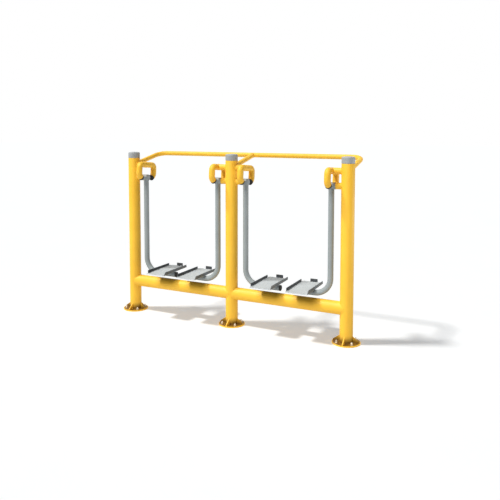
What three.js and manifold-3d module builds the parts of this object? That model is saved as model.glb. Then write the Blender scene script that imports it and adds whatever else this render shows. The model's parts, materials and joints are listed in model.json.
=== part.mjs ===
// Outdoor air walker for two people: three posts in a row, four swinging arms with foot plates
// and a handrail behind. Millimetres, +X along the row, +Y toward the handrail, +Z up.
// The origin is on the ground at the centre of the middle post.
import * as THREE from 'three';
import { mergeVertices } from 'three/addons/utils/BufferGeometryUtils.js';
import Module from 'manifold-3d';

const wasm = await Module();
wasm.setup();

// Fits that are shared by the whole frame
const seatGap = 0.3;
const overrun = 40;
const weldTolerance = 0.0001;
const rightAngle = Math.PI / 2;
const halfShare = 0.5;

// Posts
const postDiameter = 108;
const postWall = 3.5;
const postTopHeight = 1452;
const postSides = 28;

// Post caps
const capSetback = 0.5;
const capHeight = 58;
const capEdgeRadius = 10;
const capDome = 4;
const capPlugDepth = 32;
const capPlugWall = 6;
const capPlugClearance = 0.6;
const capEdgeSteps = 2;

// Base flanges with their gussets
const flangeDiameter = 234;
const flangeThickness = 10;
const flangeSides = 28;
const gussetHeight = 50;
const gussetTipHeight = 8;
const gussetRim = 5;
const gussetThickness = 8;
const gussetCount = 4;

// Anchor bolts
const anchorEdgeDistance = 29;
const anchorHoleDiameter = 16;
const anchorHoleSides = 12;
const studDiameter = 12;
const studStickOut = 9;
const nutAcrossFlats = 19;
const nutHeight = 11;
const nutSides = 6;
const washerDiameter = 26;
const washerThickness = 3;
const washerSides = 12;
const studSides = 8;

// Lower tubes between the posts, which are the posts' own tube
const lowerTubeDrop = 100;

// Handrail
const railDiameter = 44;
const railWall = 3;
const railSides = 16;
const boreSides = 10;
const railReach = 440;
const railRise = 30;
const railRootDrop = 64;
const railBendRadius = 95;
const railBendSteps = 5;

// Stop brackets: a bent tube around every pivot and its short arm to the post
const pivotOffset = 137;
const stopTubeDiameter = 54;
const stopTubeWall = 3;
const stopRise = 120;
const stopLegLength = 76;
const stopLegOffset = 112;
const stopElbowRadius = 32;
const stopCurlRadius = 45;
const stopEndStraight = 2;
const stopCurlAngle = THREE.MathUtils.degToRad(58);
const stopTilt = THREE.MathUtils.degToRad(5);
const stopElbowSteps = 3;
const stopCurlSteps = 3;
const stopTubeSides = 16;

// Rubber buffers on the ends of the stop brackets
const bufferDiameter = 54;
const bufferThickness = 20;
const bufferSpigotDiameter = 40;
const bufferSpigotLength = 14;
const bufferSides = 16;

// Pivots
const pivotDrop = 182;
const pivotStubDiameter = 54;
const pivotStubWall = 4;
const pivotStubEndWall = 8;
const pivotSides = 16;
const axleDiameter = 25;
const axleHeadDiameter = 36;
const axleHeadThickness = 6;
const axleSides = 12;
const axleEndClearance = 2;

// Swing arms
const armDiameter = 48;
const armWall = 3.5;
const armSides = 16;
const armBendRadius = 130;
const armBendSteps = 6;
const footTubeHeight = 380;
const footTubeStickOut = 1.5;
const hubDiameter = 57;
const hubWall = 5;
const hubEndWall = 5;
const hubPostReach = 38;
const hubFreeReach = 26;
const hubSideClearance = 1;

// Bearing bushes between hub and axle
const bushEndClearance = 3;

// End plugs of the foot tubes
const plugDiameter = 50;
const plugLength = 12;
const plugEdge = 3;
const plugSpigotDiameter = 38;
const plugSpigotLength = 22;
const plugSides = 16;

// Foot plates
const pedalWidth = 193;
const pedalLength = 410;
const pedalThickness = 4;
const pedalSetback = 5;
const pedalBendOverlap = 3.5;
const pedalGap = 127;
const pedalCornerRadius = 12;
const pedalRoundCorner = 31;
const pedalLipCorner = 20;
const pedalCornerSegments = 5;
const lipThickness = 4;
const lipFrontHeight = 26;
const lipBackHeight = 22;
const leftLipInset = 30;
const rightLipInset = 6;
const rightLipRamp = 25;
const toeLipHeight = 27;
const toeLipStart = 74;
const toeLipEnd = 140;
const seatStripLength = 100;
const seatStripWidth = 40;
const seatStripHeight = 2.5;

// Sizes that follow from the ones above
const postRadius = postDiameter * halfShare;
const postBore = postRadius - postWall;
const postSeat = postRadius + seatGap;
const postFoot = flangeThickness + seatGap;
const anchorCircleRadius = flangeDiameter * halfShare - anchorEdgeDistance;
const railHeight = postTopHeight + railRise;
const railRootHeight = postTopHeight - railRootDrop;
const pivotHeight = postTopHeight - pivotDrop;
const lowerTubeHeight = footTubeHeight - lowerTubeDrop;
const stopTubeRadius = stopTubeDiameter * halfShare;
const armRadius = armDiameter * halfShare;
const hubRadius = hubDiameter * halfShare;
const hubBore = hubRadius - hubWall;
const axleBore = (axleDiameter * halfShare + seatGap) / Math.cos(Math.PI / axleSides);
const stopStubHeight = pivotHeight + stopRise / Math.cos(stopTilt);
const seatStripBottom = footTubeHeight + armRadius + seatGap;
const pedalUnderside = seatStripBottom + seatStripHeight;
const pedalNearEdge = pivotOffset + armBendRadius - pedalBendOverlap;
const pedalFarEdge = pedalNearEdge + pedalWidth;
const footTubeEnd = pedalFarEdge + footTubeStickOut;
const bayLength = pedalFarEdge + pedalGap + pedalFarEdge;

const alongX = new THREE.Vector3(1, 0, 0);
const alongY = new THREE.Vector3(0, 1, 0);
const alongZ = new THREE.Vector3(0, 0, 1);

const paint = {
  yellow: { color: 0xf2c230, roughness: 0.42, metalness: 0.1 },
  greyPaint: { color: 0xa3abab, roughness: 0.45, metalness: 0.2 },
  greyPlastic: { color: 0x8f9596, roughness: 0.6, metalness: 0 },
  zinc: { color: 0xb9bcbc, roughness: 0.35, metalness: 0.9 },
  steel: { color: 0x9a9da0, roughness: 0.4, metalness: 0.9 },
  bronze: { color: 0xa87a3c, roughness: 0.45, metalness: 0.8 },
  treadPlate: { color: 0xbcc6c6, roughness: 0.5, metalness: 0.6 },
  rubber: { color: 0x151515, roughness: 0.85, metalness: 0 },
};

// Solid modelling helpers
function toSolid(geometry) {
  const plain = geometry.clone();
  plain.deleteAttribute('normal');
  plain.deleteAttribute('uv');
  const welded = mergeVertices(plain, weldTolerance);
  return new wasm.Manifold(new wasm.Mesh({
    numProp: 3,
    vertProperties: new Float32Array(welded.attributes.position.array),
    triVerts: new Uint32Array(welded.index.array),
  }));
}

function toGeometry(solid) {
  const mesh = solid.getMesh();
  const indexed = new THREE.BufferGeometry();
  indexed.setAttribute('position', new THREE.BufferAttribute(mesh.vertProperties, 3));
  indexed.setIndex(new THREE.BufferAttribute(mesh.triVerts, 1));
  const faceted = indexed.toNonIndexed();
  faceted.computeVertexNormals();
  return faceted;
}

// A station of a path: where it is, and the direction in which the path runs there
function station(place, heading) {
  return { place, heading: heading.clone().normalize() };
}

// A round bar through the given stations, which lie in the plane square to planeNormal
function sweep(stations, radius, sides, planeNormal) {
  const positions = [];
  const rings = stations.map(({ place, heading }) => {
    const across = planeNormal.clone().cross(heading);
    return Array.from({ length: sides }, (_, side) => {
      const angle = (side + halfShare) * 2 * Math.PI / sides;
      return place.clone()
        .addScaledVector(across, radius * Math.cos(angle))
        .addScaledVector(planeNormal, radius * Math.sin(angle));
    });
  });
  const face = (a, b, c) => {
    positions.push(a.x, a.y, a.z, b.x, b.y, b.z, c.x, c.y, c.z);
  };
  const lastRing = rings.length - 1;
  for (let side = 0; side < sides; side += 1) {
    const next = (side + 1) % sides;
    for (let ring = 0; ring < lastRing; ring += 1) {
      face(rings[ring][side], rings[ring + 1][side], rings[ring + 1][next]);
      face(rings[ring][side], rings[ring + 1][next], rings[ring][next]);
    }
    face(stations[0].place, rings[0][side], rings[0][next]);
    face(stations[lastRing].place, rings[lastRing][next], rings[lastRing][side]);
  }
  const geometry = new THREE.BufferGeometry();
  geometry.setAttribute('position', new THREE.Float32BufferAttribute(positions, 3));
  const solid = toSolid(geometry);
  if (solid.volume() > 0) {
    return solid;
  }
  const turned = [];
  for (let at = 0; at < positions.length; at += 9) {
    turned.push(...positions.slice(at, at + 3), ...positions.slice(at + 6, at + 9));
    turned.push(...positions.slice(at + 3, at + 6));
  }
  geometry.setAttribute('position', new THREE.Float32BufferAttribute(turned, 3));
  return toSolid(geometry);
}

// Stations of a path whose inner corners are rounded with the given radii
function roundedPath(corners, radii, steps) {
  const lastCorner = corners.length - 1;
  const stations = [station(corners[0], corners[1].clone().sub(corners[0]))];
  for (let index = 1; index < lastCorner; index += 1) {
    const corner = corners[index];
    const arriving = corner.clone().sub(corners[index - 1]).normalize();
    const leaving = corners[index + 1].clone().sub(corner).normalize();
    const turn = arriving.angleTo(leaving);
    const radius = radii[index - 1];
    const setback = radius * Math.tan(turn * halfShare);
    const start = corner.clone().addScaledVector(arriving, -setback);
    const inward = leaving.clone().addScaledVector(arriving, -Math.cos(turn)).normalize();
    const count = steps[index - 1];
    for (let step = 0; step <= count; step += 1) {
      const angle = turn * step / count;
      const heading = arriving.clone().multiplyScalar(Math.cos(angle))
        .addScaledVector(inward, Math.sin(angle));
      const place = start.clone()
        .addScaledVector(arriving, radius * Math.sin(angle))
        .addScaledVector(inward, radius * (1 - Math.cos(angle)));
      stations.push(station(place, heading));
    }
  }
  stations.push(station(corners[lastCorner], corners[lastCorner].clone().sub(corners[lastCorner - 1])));
  return stations;
}

// The same path carried past both ends, for bores that must run out
function prolonged(stations, extra) {
  const first = stations[0];
  const last = stations[stations.length - 1];
  return [
    station(first.place.clone().addScaledVector(first.heading, -extra), first.heading),
    ...stations,
    station(last.place.clone().addScaledVector(last.heading, extra), last.heading),
  ];
}

function bar(from, to, radius, sides, planeNormal) {
  const heading = to.clone().sub(from);
  return sweep([station(from, heading), station(to, heading)], radius, sides, planeNormal);
}

function point(x, y, z) {
  return new THREE.Vector3(x, y, z);
}

function upright(x, y, bottom, top, radius, sides) {
  return bar(point(x, y, bottom), point(x, y, top), radius, sides, alongX);
}

function level(x0, x1, z, radius, sides) {
  return bar(point(x0, 0, z), point(x1, 0, z), radius, sides, alongY);
}

function block(x0, x1, y0, y1, z0, z1) {
  const geometry = new THREE.BoxGeometry(x1 - x0, y1 - y0, z1 - z0);
  geometry.translate((x0 + x1) * halfShare, (y0 + y1) * halfShare, (z0 + z1) * halfShare);
  return toSolid(geometry);
}

function postCutter(x) {
  return upright(x, 0, -overrun, postTopHeight + overrun, postSeat, postSides);
}

const group = new THREE.Group();
group.name = 'outdoor_air_walker';

function addPiece(name, solid, look) {
  const mesh = new THREE.Mesh(toGeometry(solid), new THREE.MeshStandardMaterial(look));
  mesh.name = name;
  group.add(mesh);
}

// Posts
function makePost(x) {
  const outside = upright(x, 0, postFoot, postTopHeight, postRadius, postSides);
  const bore = upright(x, 0, -overrun, postTopHeight + overrun, postBore, postSides);
  return outside.subtract(bore);
}

function makePostCap(x) {
  const radius = postRadius - capSetback;
  const seat = postTopHeight + seatGap;
  const top = seat + capHeight;
  const plugRadius = postBore - capPlugClearance;
  const profile = [
    [0, seat],
    [plugRadius - capPlugWall, seat],
    [plugRadius - capPlugWall, seat - capPlugDepth],
    [plugRadius, seat - capPlugDepth],
    [plugRadius, seat],
    [radius, seat],
  ];
  const edgeCentre = top - capDome - capEdgeRadius;
  for (let step = 0; step <= capEdgeSteps; step += 1) {
    const angle = rightAngle * step / capEdgeSteps;
    profile.push([
      radius - capEdgeRadius * (1 - Math.cos(angle)),
      edgeCentre + capEdgeRadius * Math.sin(angle),
    ]);
  }
  profile.push([0, top]);
  const geometry = new THREE.LatheGeometry(profile.map(([r, z]) => new THREE.Vector2(r, z)), postSides);
  geometry.rotateX(rightAngle);
  geometry.rotateZ(Math.PI / postSides);
  geometry.translate(x, 0, 0);
  return toSolid(geometry);
}

function makeGusset(x, angle) {
  const inner = postSeat;
  const outer = flangeDiameter * halfShare - gussetRim;
  const outline = new THREE.Shape();
  outline.moveTo(inner, flangeThickness * halfShare);
  outline.lineTo(outer, flangeThickness * halfShare);
  outline.lineTo(outer, flangeThickness + gussetTipHeight);
  outline.lineTo(inner, flangeThickness + gussetHeight);
  outline.closePath();
  const geometry = new THREE.ExtrudeGeometry(outline, { depth: gussetThickness, bevelEnabled: false });
  geometry.translate(0, 0, -gussetThickness * halfShare);
  geometry.rotateX(rightAngle);
  geometry.rotateZ(angle);
  geometry.translate(x, 0, 0);
  return toSolid(geometry);
}

function anchorPlaces(x) {
  return Array.from({ length: gussetCount }, (_, index) => {
    const angle = (index + halfShare) * 2 * Math.PI / gussetCount;
    return [x + anchorCircleRadius * Math.cos(angle), anchorCircleRadius * Math.sin(angle)];
  });
}

function makeFlange(x) {
  let solid = upright(x, 0, 0, flangeThickness, flangeDiameter * halfShare, flangeSides);
  for (let index = 0; index < gussetCount; index += 1) {
    solid = solid.add(makeGusset(x, index * 2 * Math.PI / gussetCount));
  }
  for (const [holeX, holeY] of anchorPlaces(x)) {
    const radius = anchorHoleDiameter * halfShare;
    solid = solid.subtract(upright(holeX, holeY, -overrun, overrun, radius, anchorHoleSides));
  }
  return solid;
}

function makeAnchor(x, y) {
  const seat = flangeThickness + seatGap;
  const washerTop = seat + washerThickness;
  const nutTop = washerTop + nutHeight;
  const nutRadius = nutAcrossFlats * halfShare / Math.cos(Math.PI / nutSides);
  const stud = upright(x, y, seatGap, nutTop + studStickOut, studDiameter * halfShare, studSides);
  const washer = upright(x, y, seat, washerTop, washerDiameter * halfShare, washerSides);
  const nut = upright(x, y, seat + washerThickness * halfShare, nutTop, nutRadius, nutSides);
  return stud.add(washer).add(nut);
}

function makeLowerTube(x0, x1) {
  const outside = level(x0, x1, lowerTubeHeight, postRadius, postSides);
  const bore = level(x0 - overrun, x1 + overrun, lowerTubeHeight, postBore, postSides);
  return outside.subtract(bore).subtract(postCutter(x0)).subtract(postCutter(x1));
}

// Handrail: one long tube with a bend at both ends, and a straight strut to the middle post
function makeHandrail() {
  const radius = railDiameter * halfShare;
  const bore = radius - railWall;
  const corners = [
    point(-bayLength, 0, railRootHeight),
    point(-bayLength, railReach, railHeight),
    point(bayLength, railReach, railHeight),
    point(bayLength, 0, railRootHeight),
  ];
  const planeNormal = corners[1].clone().sub(corners[0]).normalize().cross(alongX);
  const radii = [railBendRadius, railBendRadius];
  const path = roundedPath(corners, radii, [railBendSteps, railBendSteps]);
  const root = point(0, 0, railRootHeight);
  const meeting = point(0, railReach, railHeight);
  const strutOutside = bar(root, meeting, radius, railSides, alongX);
  const strutBore = bar(root, meeting, bore, boreSides, alongX);
  const railOutside = sweep(path, radius, railSides, planeNormal);
  const railBore = sweep(path, bore, boreSides, planeNormal);
  const strut = strutOutside.subtract(strutBore).subtract(railBore);
  return railOutside.subtract(railBore).add(strut)
    .subtract(postCutter(-bayLength))
    .subtract(postCutter(0))
    .subtract(postCutter(bayLength));
}

// Stop brackets: the corners of the bent tube, from its front end to its back end
function stopCorners(x) {
  const setback = stopCurlRadius * Math.tan(stopCurlAngle * halfShare);
  const knee = stopRise - stopLegLength - setback;
  const endReach = setback + stopEndStraight;
  const endOffset = stopLegOffset - endReach * Math.sin(stopCurlAngle);
  const end = knee - endReach * Math.cos(stopCurlAngle);
  const pivot = point(x, 0, pivotHeight);
  return [
    point(0, -endOffset, end),
    point(0, -stopLegOffset, knee),
    point(0, -stopLegOffset, stopRise),
    point(0, stopLegOffset, stopRise),
    point(0, stopLegOffset, knee),
    point(0, endOffset, end),
  ].map((corner) => corner.applyAxisAngle(alongX, -stopTilt).add(pivot));
}

function makeStopBracket(postX, x) {
  const radii = [stopCurlRadius, stopElbowRadius, stopElbowRadius, stopCurlRadius];
  const steps = [stopCurlSteps, stopElbowSteps, stopElbowSteps, stopCurlSteps];
  const path = roundedPath(stopCorners(x), radii, steps);
  const outside = sweep(path, stopTubeRadius, stopTubeSides, alongX);
  const bore = sweep(prolonged(path, overrun), stopTubeRadius - stopTubeWall, boreSides, alongX);
  const stubOutside = level(postX, x, stopStubHeight, stopTubeRadius, stopTubeSides);
  const stubBore = level(postX, x, stopStubHeight, stopTubeRadius - stopTubeWall, boreSides);
  const stub = stubOutside.subtract(stubBore).subtract(bore);
  return outside.subtract(bore).add(stub).subtract(postCutter(postX));
}

// A rubber buffer on the first end of a bracket's corners
function makeBuffer([end, knee]) {
  const outward = end.clone().sub(knee).normalize();
  const at = (distance) => end.clone().addScaledVector(outward, distance);
  const radius = bufferDiameter * halfShare;
  const disc = bar(at(seatGap), at(seatGap + bufferThickness), radius, bufferSides, alongX);
  const spigotEnd = at(seatGap - bufferSpigotLength);
  const spigotRoot = at(bufferThickness * halfShare);
  return disc.add(bar(spigotEnd, spigotRoot, bufferSpigotDiameter * halfShare, boreSides, alongX));
}

// Pivots
function makePivotStub(postX, side) {
  const end = pivotOffset - hubPostReach - hubSideClearance;
  const endX = postX + side * end;
  const outside = level(postX, endX, pivotHeight, pivotStubDiameter * halfShare, pivotSides);
  const boreEnd = postX + side * (end - pivotStubEndWall);
  const bore = level(postX, boreEnd, pivotHeight, pivotStubDiameter * halfShare - pivotStubWall, pivotSides);
  const axleHole = level(postX, endX + side * overrun, pivotHeight, axleBore, axleSides);
  return outside.subtract(bore).subtract(axleHole).subtract(postCutter(postX));
}

function makeAxle(postX, side) {
  const plateInner = pivotOffset - hubPostReach - hubSideClearance - pivotStubEndWall - seatGap;
  const headStart = postX + side * (plateInner - axleHeadThickness);
  const headEnd = postX + side * plateInner;
  const shaftEnd = postX + side * (pivotOffset + hubFreeReach - hubEndWall - axleEndClearance);
  const head = level(headStart, headEnd, pivotHeight, axleHeadDiameter * halfShare, axleSides);
  return head.add(level(headStart, shaftEnd, pivotHeight, axleDiameter * halfShare, axleSides));
}

function makeBush(postX, side) {
  const start = postX + side * (pivotOffset - hubPostReach + bushEndClearance);
  const end = postX + side * (pivotOffset + hubFreeReach - hubEndWall - bushEndClearance);
  const outside = level(start, end, pivotHeight, hubBore - seatGap, pivotSides);
  const boreStart = start - side * overrun;
  const bore = level(boreStart, end + side * overrun, pivotHeight, axleBore, axleSides);
  return outside.subtract(bore);
}

// Swing arms: hub, upright tube, wide bend and level foot tube
function makeArm(postX, side) {
  const x = postX + side * pivotOffset;
  const hubStart = x - side * hubPostReach;
  const hubEnd = x + side * hubFreeReach;
  const hubOutside = level(hubStart, hubEnd, pivotHeight, hubRadius, pivotSides);
  const boreStart = hubStart - side * overrun;
  const hubHole = level(boreStart, hubEnd - side * hubEndWall, pivotHeight, hubBore, pivotSides);
  const corners = [
    point(x, 0, pivotHeight),
    point(x, 0, footTubeHeight),
    point(postX + side * footTubeEnd, 0, footTubeHeight),
  ];
  const path = roundedPath(corners, [armBendRadius], [armBendSteps]);
  const tube = sweep(path, armRadius, armSides, alongY)
    .subtract(sweep(path, armRadius - armWall, boreSides, alongY))
    .subtract(hubHole);
  return hubOutside.subtract(hubHole).add(tube);
}

function makePlug(postX, side) {
  const start = footTubeEnd + seatGap;
  const end = start + plugLength;
  const at = (distance) => postX + side * distance;
  const radius = plugDiameter * halfShare;
  const spigot = level(at(start - plugSpigotLength), at(start + plugEdge), footTubeHeight,
    plugSpigotDiameter * halfShare, boreSides);
  const flange = level(at(start), at(end - plugEdge), footTubeHeight, radius, plugSides);
  const face = level(at(start + plugEdge), at(end), footTubeHeight, radius - plugEdge, plugSides);
  return spigot.add(flange).add(face);
}

// A side lip of a foot plate between two places along Y: it falls toward the back, and its front
// end may rise over a ramp
function makeLip(x, front, back, ramp) {
  const foot = pedalUnderside + pedalThickness * halfShare;
  const tread = pedalUnderside + pedalThickness;
  const outline = new THREE.Shape();
  outline.moveTo(front, foot);
  outline.lineTo(back, foot);
  outline.lineTo(back, tread + lipBackHeight);
  outline.lineTo(front + ramp, tread + lipFrontHeight);
  outline.closePath();
  const geometry = new THREE.ExtrudeGeometry(outline, { depth: lipThickness, bevelEnabled: false });
  geometry.rotateX(rightAngle);
  geometry.rotateZ(rightAngle);
  geometry.translate(x, 0, 0);
  return toSolid(geometry);
}

// Foot plates: a flat plate with one rounded corner, two side lips, a toe lip and a seat strip below
function makePedal(centreX) {
  const left = centreX - pedalWidth * halfShare;
  const right = left + pedalWidth;
  const back = pedalSetback + pedalLength * halfShare;
  const front = back - pedalLength;
  const outline = new THREE.Shape();
  const turn = (x, y, radius, from) => {
    outline.absarc(x, y, radius, from, from + rightAngle, false);
  };
  turn(right - pedalLipCorner, back - pedalLipCorner, pedalLipCorner, 0);
  turn(left + pedalRoundCorner, back - pedalRoundCorner, pedalRoundCorner, rightAngle);
  turn(left + pedalCornerRadius, front + pedalCornerRadius, pedalCornerRadius, Math.PI);
  turn(right - pedalCornerRadius, front + pedalCornerRadius, pedalCornerRadius, -rightAngle);
  const geometry = new THREE.ExtrudeGeometry(outline, {
    depth: pedalThickness,
    bevelEnabled: false,
    curveSegments: pedalCornerSegments,
  });
  geometry.translate(0, 0, pedalUnderside);
  const toeFoot = pedalUnderside + pedalThickness * halfShare;
  const toeTop = pedalUnderside + pedalThickness + toeLipHeight;
  const leftLip = makeLip(left, front + leftLipInset, back - pedalRoundCorner, 0);
  const rightLip = makeLip(right - lipThickness, front + rightLipInset, back - pedalLipCorner, rightLipRamp);
  const toeLip = block(left + toeLipStart, left + toeLipEnd, back - lipThickness, back, toeFoot, toeTop);
  const stripEnd = seatStripLength * halfShare;
  const stripSide = seatStripWidth * halfShare;
  const seatStrip = block(centreX - stripEnd, centreX + stripEnd, -stripSide, stripSide,
    seatStripBottom, toeFoot);
  return toSolid(geometry).add(leftLip).add(rightLip).add(toeLip).add(seatStrip);
}

const posts = [
  { name: 'left', x: -bayLength },
  { name: 'middle', x: 0 },
  { name: 'right', x: bayLength },
];

for (const post of posts) {
  addPiece(`${post.name}_post`, makePost(post.x), paint.yellow);
  addPiece(`${post.name}_post_cap`, makePostCap(post.x), paint.greyPlastic);
  addPiece(`${post.name}_base_flange`, makeFlange(post.x), paint.yellow);
  anchorPlaces(post.x).forEach(([x, y], index) => {
    addPiece(`${post.name}_anchor_bolt_${index + 1}`, makeAnchor(x, y), paint.zinc);
  });
}

addPiece('left_lower_tube', makeLowerTube(-bayLength, 0), paint.yellow);
addPiece('right_lower_tube', makeLowerTube(0, bayLength), paint.yellow);
addPiece('handrail', makeHandrail(), paint.yellow);

const pivots = [
  { name: 'left_outer', postX: -bayLength, side: 1 },
  { name: 'left_inner', postX: 0, side: -1 },
  { name: 'right_inner', postX: 0, side: 1 },
  { name: 'right_outer', postX: bayLength, side: -1 },
];

for (const { name, postX, side } of pivots) {
  const x = postX + side * pivotOffset;
  const pedalX = postX + side * (pedalNearEdge + pedalFarEdge) * halfShare;
  addPiece(`${name}_stop_bracket`, makeStopBracket(postX, x), paint.yellow);
  addPiece(`${name}_front_buffer`, makeBuffer(stopCorners(x)), paint.rubber);
  addPiece(`${name}_back_buffer`, makeBuffer(stopCorners(x).reverse()), paint.rubber);
  addPiece(`${name}_pivot_stub`, makePivotStub(postX, side), paint.yellow);
  addPiece(`${name}_pivot_axle`, makeAxle(postX, side), paint.steel);
  addPiece(`${name}_bearing_bush`, makeBush(postX, side), paint.bronze);
  addPiece(`${name}_swing_arm`, makeArm(postX, side), paint.greyPaint);
  addPiece(`${name}_end_plug`, makePlug(postX, side), paint.rubber);
  addPiece(`${name}_foot_plate`, makePedal(pedalX), paint.treadPlate);
}

export default group;
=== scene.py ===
"""Outdoor air walker: the detailed visual model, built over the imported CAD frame. Metres."""
import json
import math

import bmesh
import bpy
from mathutils import Matrix, Vector
from mathutils.geometry import tessellate_polygon


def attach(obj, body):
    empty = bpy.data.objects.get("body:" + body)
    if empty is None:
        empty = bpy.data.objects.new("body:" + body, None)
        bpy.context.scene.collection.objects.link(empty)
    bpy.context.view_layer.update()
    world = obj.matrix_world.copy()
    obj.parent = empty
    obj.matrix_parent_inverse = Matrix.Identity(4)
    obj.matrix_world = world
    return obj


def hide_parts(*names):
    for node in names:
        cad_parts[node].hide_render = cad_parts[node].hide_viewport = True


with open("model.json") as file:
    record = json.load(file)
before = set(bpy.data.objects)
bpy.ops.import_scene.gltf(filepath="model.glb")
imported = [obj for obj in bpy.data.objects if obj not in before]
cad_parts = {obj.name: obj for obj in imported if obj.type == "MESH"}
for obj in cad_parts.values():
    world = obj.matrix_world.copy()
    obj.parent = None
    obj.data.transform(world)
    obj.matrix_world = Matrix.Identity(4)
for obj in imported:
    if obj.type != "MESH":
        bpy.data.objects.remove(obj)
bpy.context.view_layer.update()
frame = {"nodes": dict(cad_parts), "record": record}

MM = 0.001
FULL_TURN = 2 * math.pi
QUARTER_TURN = math.pi / 2
X_AXIS = Vector((1, 0, 0))
Y_AXIS = Vector((0, 1, 0))
Z_AXIS = Vector((0, 0, 1))

# Posts and caps: sizes here and below are those of the CAD source
SEAT_GAP = 0.3 * MM
POST_R = 54 * MM
POST_TOP = 1452 * MM
CAP_SETBACK = 0.5 * MM
CAP_HEIGHT = 58 * MM
CAP_EDGE_R = 10 * MM
CAP_DOME = 4 * MM

# Base flanges, gussets and anchor bolts
FLANGE_R = 117 * MM
FLANGE_T = 10 * MM
GUSSET_COUNT = 4
GUSSET_HEIGHT = 50 * MM
GUSSET_TIP_HEIGHT = 8 * MM
GUSSET_RIM = 5 * MM
GUSSET_HALF = 4 * MM
ANCHOR_COUNT = 4
ANCHOR_EDGE_DISTANCE = 29 * MM
ANCHOR_HOLE_R = 8 * MM
STUD_STICK_OUT = 9 * MM
NUT_SIDES = 6
NUT_ACROSS_FLATS = 19 * MM
NUT_HEIGHT = 11 * MM
WASHER_R = 13 * MM
WASHER_T = 3 * MM

# Lower tubes and handrail
LOWER_TUBE_DROP = 100 * MM
RAIL_R = 22 * MM
RAIL_Y = 440 * MM
RAIL_RISE = 30 * MM
RAIL_ROOT_DROP = 64 * MM
RAIL_BEND_R = 95 * MM

# Stop brackets and buffers
STOP_R = 27 * MM
STOP_RISE = 120 * MM
STOP_LEG_LENGTH = 76 * MM
STOP_LEG_Y = 112 * MM
STOP_ELBOW_R = 32 * MM
STOP_CURL_R = 45 * MM
STOP_CURL_ANGLE = math.radians(58)
STOP_END_STRAIGHT = 2 * MM
STOP_TILT = math.radians(5)
BUFFER_R = 27 * MM
BUFFER_T = 20 * MM

# Pivots
PIVOT_OFFSET = 137 * MM
PIVOT_DROP = 182 * MM
STUB_R = 27 * MM
STUB_WALL = 4 * MM
STUB_END_WALL = 8 * MM
AXLE_R = 12.5 * MM

# Swing arms and end plugs
HUB_R = 28.5 * MM
HUB_WALL = 5 * MM
HUB_END_WALL = 5 * MM
HUB_POST_REACH = 38 * MM
HUB_FREE_REACH = 26 * MM
HUB_CLEARANCE = 1 * MM
ARM_R = 24 * MM
ARM_BEND_R = 130 * MM
FOOT_Z = 380 * MM
FOOT_STICK_OUT = 1.5 * MM
PLUG_R = 25 * MM
PLUG_LENGTH = 12 * MM
PLUG_EDGE = 3 * MM

# Foot plates
PLATE_WIDTH = 193 * MM
PLATE_LENGTH = 410 * MM
PLATE_T = 4 * MM
PLATE_SETBACK = 5 * MM
PLATE_BEND_OVERLAP = 3.5 * MM
PLATE_GAP = 127 * MM
PLATE_CORNER = 12 * MM
PLATE_ROUND_CORNER = 31 * MM
PLATE_LIP_CORNER = 20 * MM
LIP_T = 4 * MM
LIP_FRONT_HEIGHT = 26 * MM
LIP_BACK_HEIGHT = 22 * MM
LEFT_LIP_INSET = 30 * MM
RIGHT_LIP_INSET = 6 * MM
RIGHT_LIP_RAMP = 25 * MM
TOE_START = 74 * MM
TOE_END = 140 * MM
TOE_HEIGHT = 27 * MM
STRIP_LENGTH = 100 * MM
STRIP_WIDTH = 40 * MM
STRIP_T = 2.5 * MM

# Places that follow from the sizes above
POST_SEAT_R = POST_R + SEAT_GAP
POST_BOTTOM = FLANGE_T + SEAT_GAP
CAP_BOTTOM = POST_TOP + SEAT_GAP
CAP_R = POST_R - CAP_SETBACK
ANCHOR_CIRCLE_R = FLANGE_R - ANCHOR_EDGE_DISTANCE
LOWER_TUBE_Z = FOOT_Z - LOWER_TUBE_DROP
RAIL_Z = POST_TOP + RAIL_RISE
RAIL_ROOT_Z = POST_TOP - RAIL_ROOT_DROP
PIVOT_Z = POST_TOP - PIVOT_DROP
STOP_STUB_Z = PIVOT_Z + STOP_RISE / math.cos(STOP_TILT)
STRIP_Z = FOOT_Z + ARM_R + SEAT_GAP
PLATE_Z = STRIP_Z + STRIP_T
PLATE_NEAR = PIVOT_OFFSET + ARM_BEND_R - PLATE_BEND_OVERLAP
PLATE_FAR = PLATE_NEAR + PLATE_WIDTH
PLATE_BACK = PLATE_LENGTH / 2 + PLATE_SETBACK
FOOT_END = PLATE_FAR + FOOT_STICK_OUT
BAY = 2 * PLATE_FAR + PLATE_GAP

POSTS = (("left", -BAY), ("middle", 0.0), ("right", BAY))
PIVOTS = (
    ("left_outer", -BAY, 1),
    ("left_inner", 0.0, -1),
    ("right_inner", 0.0, 1),
    ("right_outer", BAY, -1),
)

# Rounded edges and chamfers, and the shares of its radius at which a cap's dome has points
POST_EDGE = 1 * MM
CAP_CHAMFER = 1.5 * MM
CAP_DOME_SHARES = (0.8, 0.6, 0.4, 0.2, 0.03)
FLANGE_CHAMFER = 1.2 * MM
GUSSET_CHAMFER = 1 * MM
WASHER_EDGE = 0.6 * MM
NUT_CHAMFER = 1.4 * MM
NUT_FACE_SHARE = 0.97
BUFFER_EDGE = 4 * MM
STUB_EDGE = 1 * MM
HUB_EDGE = 2.5 * MM
PLATE_CHAMFER = 0.8 * MM
STRIP_CHAMFER = 0.6 * MM
LIP_CORNER = 5 * MM

# Threads of the anchor studs
THREAD_R = 5.9 * MM
THREAD_ROOT_R = 5.2 * MM
STUD_END_R = 5 * MM
STUD_DEPTH = 9 * MM
THREAD_PITCH = 1.75 * MM
THREAD_COUNT = 4

# Radii that are drawn in a little from the ones above
FLANGE_RIM_R = FLANGE_R - 0.8 * MM
STOP_STUB_R = STOP_R - 0.4 * MM
BUFFER_RIM_R = BUFFER_R - 0.5 * MM
PLUG_RIM_R = PLUG_R - 0.4 * MM

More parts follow.
